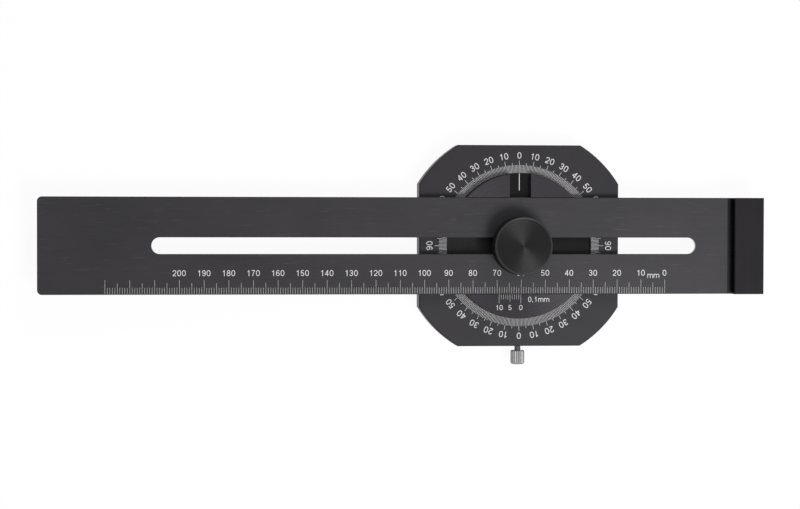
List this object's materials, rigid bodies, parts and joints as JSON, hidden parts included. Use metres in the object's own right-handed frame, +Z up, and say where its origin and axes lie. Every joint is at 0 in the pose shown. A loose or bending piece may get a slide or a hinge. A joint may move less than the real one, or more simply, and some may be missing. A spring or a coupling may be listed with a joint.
{
  "type": "marking gauge with protractor",
  "caption": "Slotted steel-ended rule clamped on a turning disc with a degree scale, set in a square stop plate with clipped corners, for setting distances and angles.",
  "frame": {"origin": "the turning disc's axis where it meets the plane of the stop plate's underside, with the rule set as in the picture", "axes": "+X along the rule towards its marking end, +Y away from the edge lock screw, +Z up out of the plate towards the clamp knob"},
  "size_m": [0.2977, 0.0907, 0.024],
  "materials": {
    "anodised_rule": "black anodised, brushed lengthwise, white engraved scale",
    "anodised_plate": "black anodised, satin, white engraved scale",
    "anodised_disc": "black anodised, satin",
    "anodised_knob": "black anodised, turned face, knurled rim",
    "blackened_steel": "blackened, fine ground",
    "screw_steel": "black oxide",
    "bright_steel": "bright",
    "brass": "machined",
    "nylon": "natural"
  },
  "bodies": {
    "stop_plate": {"stop_plate": "anodised_plate", "upper_glide_ring": "nylon", "lower_glide_ring": "nylon", "retaining_ring": "blackened_steel", "ring_screws": "screw_steel", "lock_bush": "bright_steel"},
    "rotor": {"rotary_disc": "anodised_disc", "guide_key": "bright_steel", "key_screws": "screw_steel", "clamp_stud": "bright_steel", "stud_pin": "bright_steel"},
    "beam": {"beam": "anodised_rule", "end_block": "blackened_steel", "block_screws": "screw_steel", "block_dowels": "bright_steel"},
    "clamp_washer": {"clamp_washer": "bright_steel"},
    "clamp_knob": {"clamp_knob": "anodised_knob", "knob_insert": "brass"},
    "lock_pad": {"lock_pad": "brass"},
    "lock_screw": {"lock_screw": "bright_steel"}
  },
  "joints": [
    {"name": "angle_turn", "type": "hinge", "parent": "stop_plate", "child": "rotor", "pos_m": [0, 0, 0.007], "axis": [0, 0, 1], "continuous": true},
    {"name": "rule_slide", "type": "slide", "parent": "rotor", "child": "beam", "axis": [1, 0, 0], "range_m": [-0.0634, 0.1406]},
    {"name": "clamp_travel", "type": "slide", "parent": "rotor", "child": "clamp_washer", "axis": [0, 0, 1], "range_m": [0, 0.002]},
    {"name": "knob_turn", "type": "hinge", "parent": "clamp_washer", "child": "clamp_knob", "pos_m": [0, 0, 0.018], "axis": [0, 0, 1], "range_deg": [0, 720]},
    {"name": "lock_travel", "type": "slide", "parent": "stop_plate", "child": "lock_pad", "axis": [0, -1, 0], "range_m": [-0.00025, 0.001]},
    {"name": "lock_turn", "type": "hinge", "parent": "lock_pad", "child": "lock_screw", "pos_m": [0, -0.0415, 0.00605], "axis": [0, -1, 0], "range_deg": [-180, 720]}
  ],
  "couplings": [
    {"joint": "clamp_travel", "follows": "knob_turn", "m_per_rad": 0.00015915},
    {"joint": "lock_travel", "follows": "lock_turn", "m_per_rad": 0.00007957}
  ]
}
